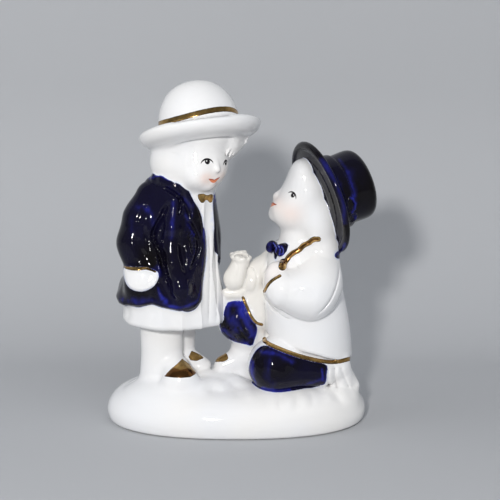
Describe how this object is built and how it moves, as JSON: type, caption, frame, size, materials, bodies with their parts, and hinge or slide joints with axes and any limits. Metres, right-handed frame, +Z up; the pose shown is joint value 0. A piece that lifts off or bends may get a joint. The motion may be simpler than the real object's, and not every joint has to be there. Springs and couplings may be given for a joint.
{
  "type": "boy and girl figurine",
  "caption": "Small glazed porcelain group on an oval mound: a standing child in a brimmed hat and a kneeling child in a top hat who holds up flowers.",
  "frame": {"origin": "on the ground under the middle of the oval mound", "axes": "+X from the standing child to the kneeling one, -Y to the front, +Z up"},
  "size_m": [0.0927, 0.052, 0.1192],
  "materials": {
    "glazed_porcelain": "gloss"
  },
  "bodies": {
    "root": {"figurine": "glazed_porcelain"}
  },
  "joints": []
}
